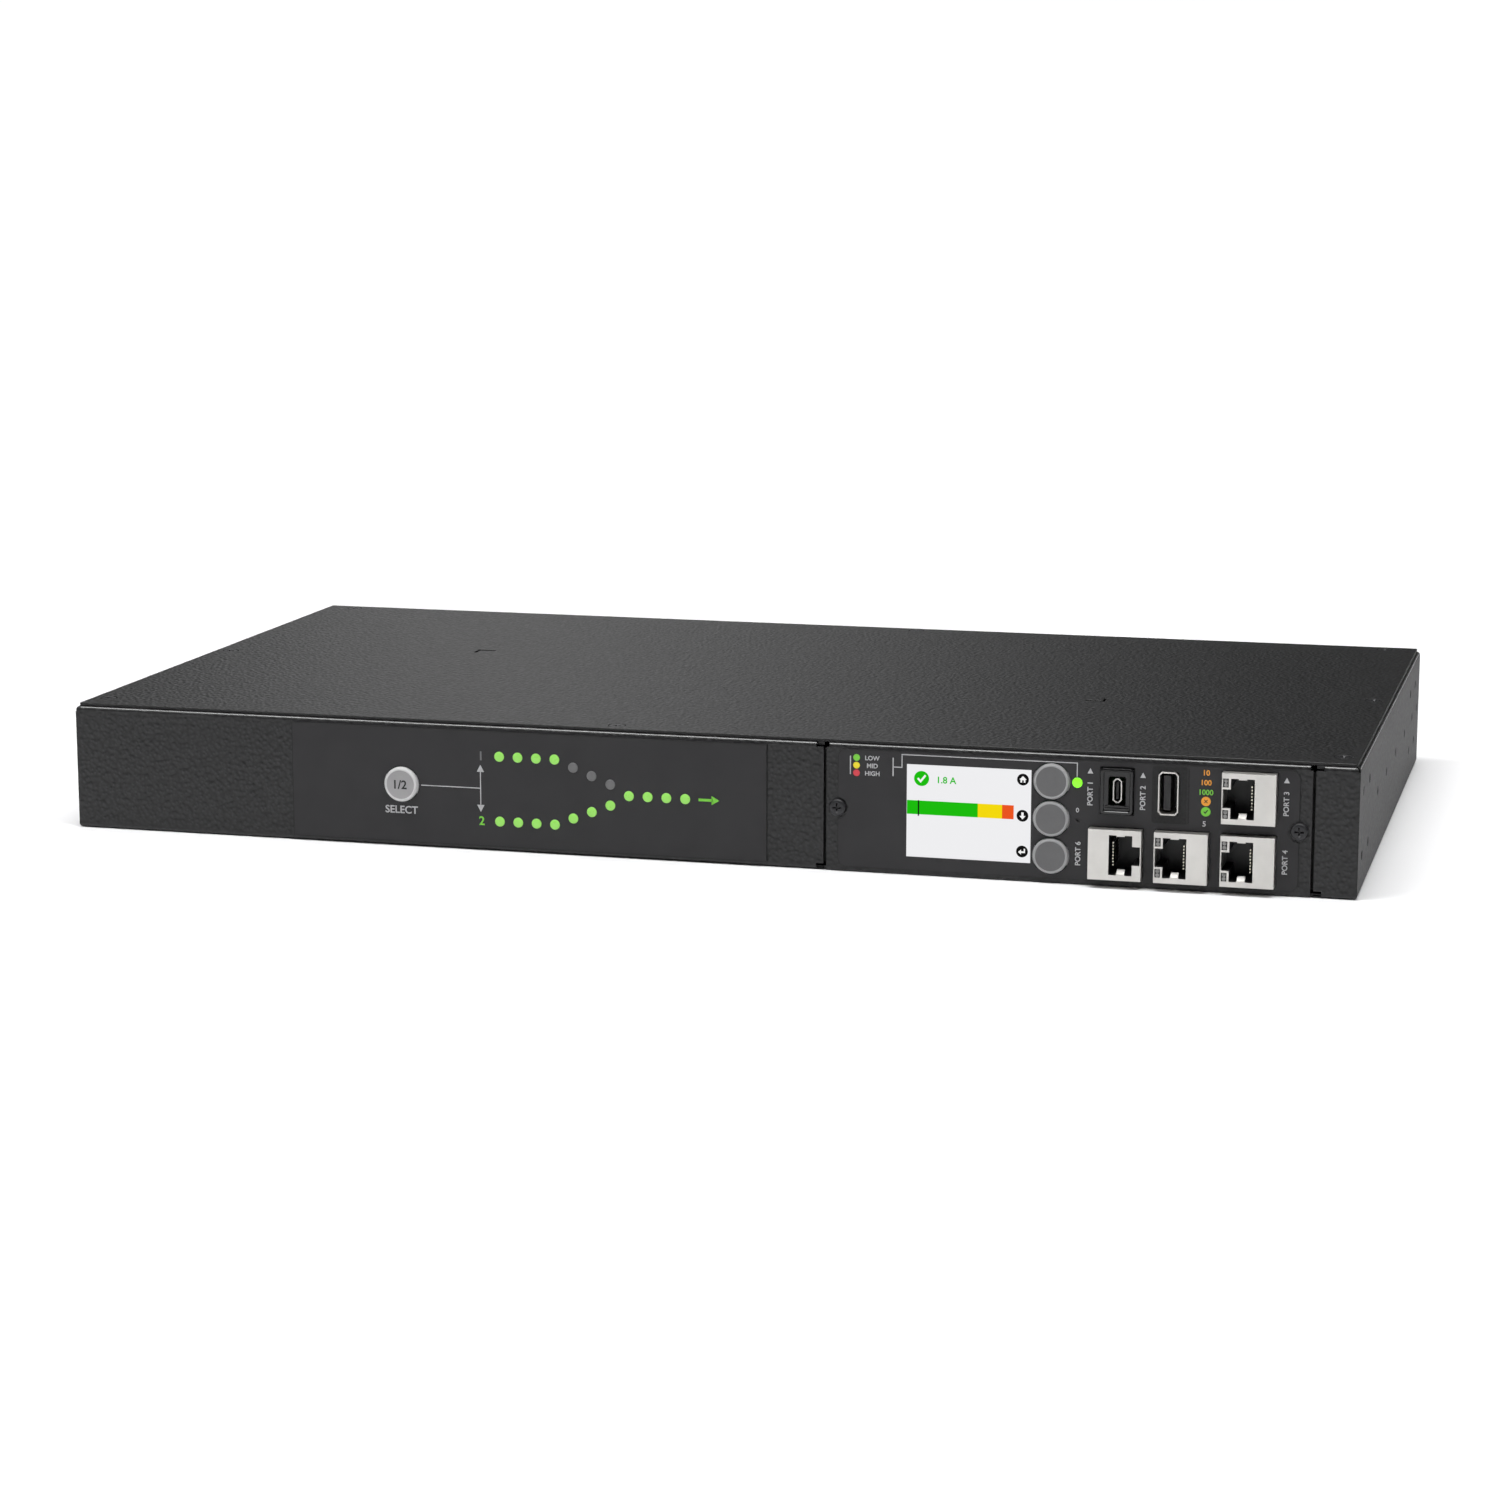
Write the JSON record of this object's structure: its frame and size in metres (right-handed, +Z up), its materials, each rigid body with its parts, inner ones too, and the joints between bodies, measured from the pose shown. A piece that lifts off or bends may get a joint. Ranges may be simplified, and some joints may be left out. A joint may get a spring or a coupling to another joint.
{
  "type": "rack automatic transfer switch",
  "caption": "One-unit rack automatic transfer switch: flat folded case, lamp diagram and push button, screw-in controller with screen, keys and jacks, inlets and outlets behind.",
  "frame": {"origin": "under the middle of the whole box, on the plane that the case rests on", "axes": "+X to the right seen from the front, +Y from the front panel to the back, +Z up"},
  "size_m": [0.432, 0.242, 0.043],
  "materials": {
    "powder_coat": "fine-textured black powder coat",
    "black_screw": "black oxide",
    "dark_film": "smooth matt film",
    "lamp_green": "lit green light guide",
    "lamp_idle": "unlit grey light guide",
    "lamp_lime": "lit lime light guide",
    "button_grey": "light grey moulded cap",
    "key_grey": "grey moulded cap",
    "screen": "lit white screen",
    "board": "green circuit board",
    "nickel": "bright nickel-plated sheet",
    "spacer_steel": "plated steel",
    "black_moulding": "black moulded plastic",
    "brass": "bright brass",
    "relay_case": "moulded relay case",
    "transformer_core": "varnished laminations",
    "capacitor_case": "moulded capacitor case",
    "ribbon": "grey flat cable"
  },
  "bodies": {
    "case": {"board_spacers": "spacer_steel", "branch_one_lamps": "lamp_idle", "chassis_tray": "powder_coat", "console_bezel": "black_moulding", "console_port_shell": "nickel", "console_port_tongue": "black_moulding", "controller_board": "board", "cover_screws": "black_screw", "display_board": "board", "display_frame": "black_moulding", "display_panel": "screen", "filter_capacitors": "capacitor_case", "host_port_shell": "nickel", "host_port_tongue": "black_moulding", "inlet_one": "black_moulding", "inlet_one_links": "brass", "inlet_one_pins": "brass", "inlet_two": "black_moulding", "inlet_two_links": "brass", "inlet_two_pins": "brass", "jack_contacts": "brass", "jack_lamps": "lamp_idle", "key_switches": "black_moulding", "lamp_board": "board", "lamp_board_spacers": "spacer_steel", "link_one_jack_insert": "black_moulding", "link_one_jack_shell": "nickel", "link_two_jack_insert": "black_moulding", "link_two_jack_shell": "nickel", "module_faceplate": "powder_coat", "module_overlay": "dark_film", "module_screws": "black_screw", "network_jack_insert": "black_moulding", "network_jack_shell": "nickel", "outlet_bank_one": "black_moulding", "outlet_bank_two": "black_moulding", "output_lamps": "lamp_green", "output_links": "brass", "power_board": "board", "power_board_standoffs": "spacer_steel", "preference_switch": "black_moulding", "reset_switch": "black_moulding", "ribbon_cable": "ribbon", "source_one_lamps": "lamp_green", "source_two_lamps": "lamp_green", "status_lamp": "lamp_lime", "status_overlay": "dark_film", "supply_transformers": "transformer_core", "top_cover": "powder_coat", "transfer_relays": "relay_case", "universal_jack_insert": "black_moulding", "universal_jack_shell": "nickel"},
    "preference_button_body": {"preference_button": "button_grey"},
    "key_home_body": {"key_home": "key_grey"},
    "key_scroll_body": {"key_scroll": "key_grey"},
    "key_enter_body": {"key_enter": "key_grey"}
  },
  "joints": [
    {"name": "preference_button_press", "type": "slide", "parent": "case", "child": "preference_button_body", "axis": [0, 1, 0], "range_m": [0, 0.0005], "stiffness_N_per_m": 1200, "springref_m": -0.0005},
    {"name": "key_home_press", "type": "slide", "parent": "case", "child": "key_home_body", "axis": [0, 1, 0], "range_m": [0, 0.0005], "stiffness_N_per_m": 1200, "springref_m": -0.0005},
    {"name": "key_scroll_press", "type": "slide", "parent": "case", "child": "key_scroll_body", "axis": [0, 1, 0], "range_m": [0, 0.0005], "stiffness_N_per_m": 1200, "springref_m": -0.0005},
    {"name": "key_enter_press", "type": "slide", "parent": "case", "child": "key_enter_body", "axis": [0, 1, 0], "range_m": [0, 0.0005], "stiffness_N_per_m": 1200, "springref_m": -0.0005}
  ]
}
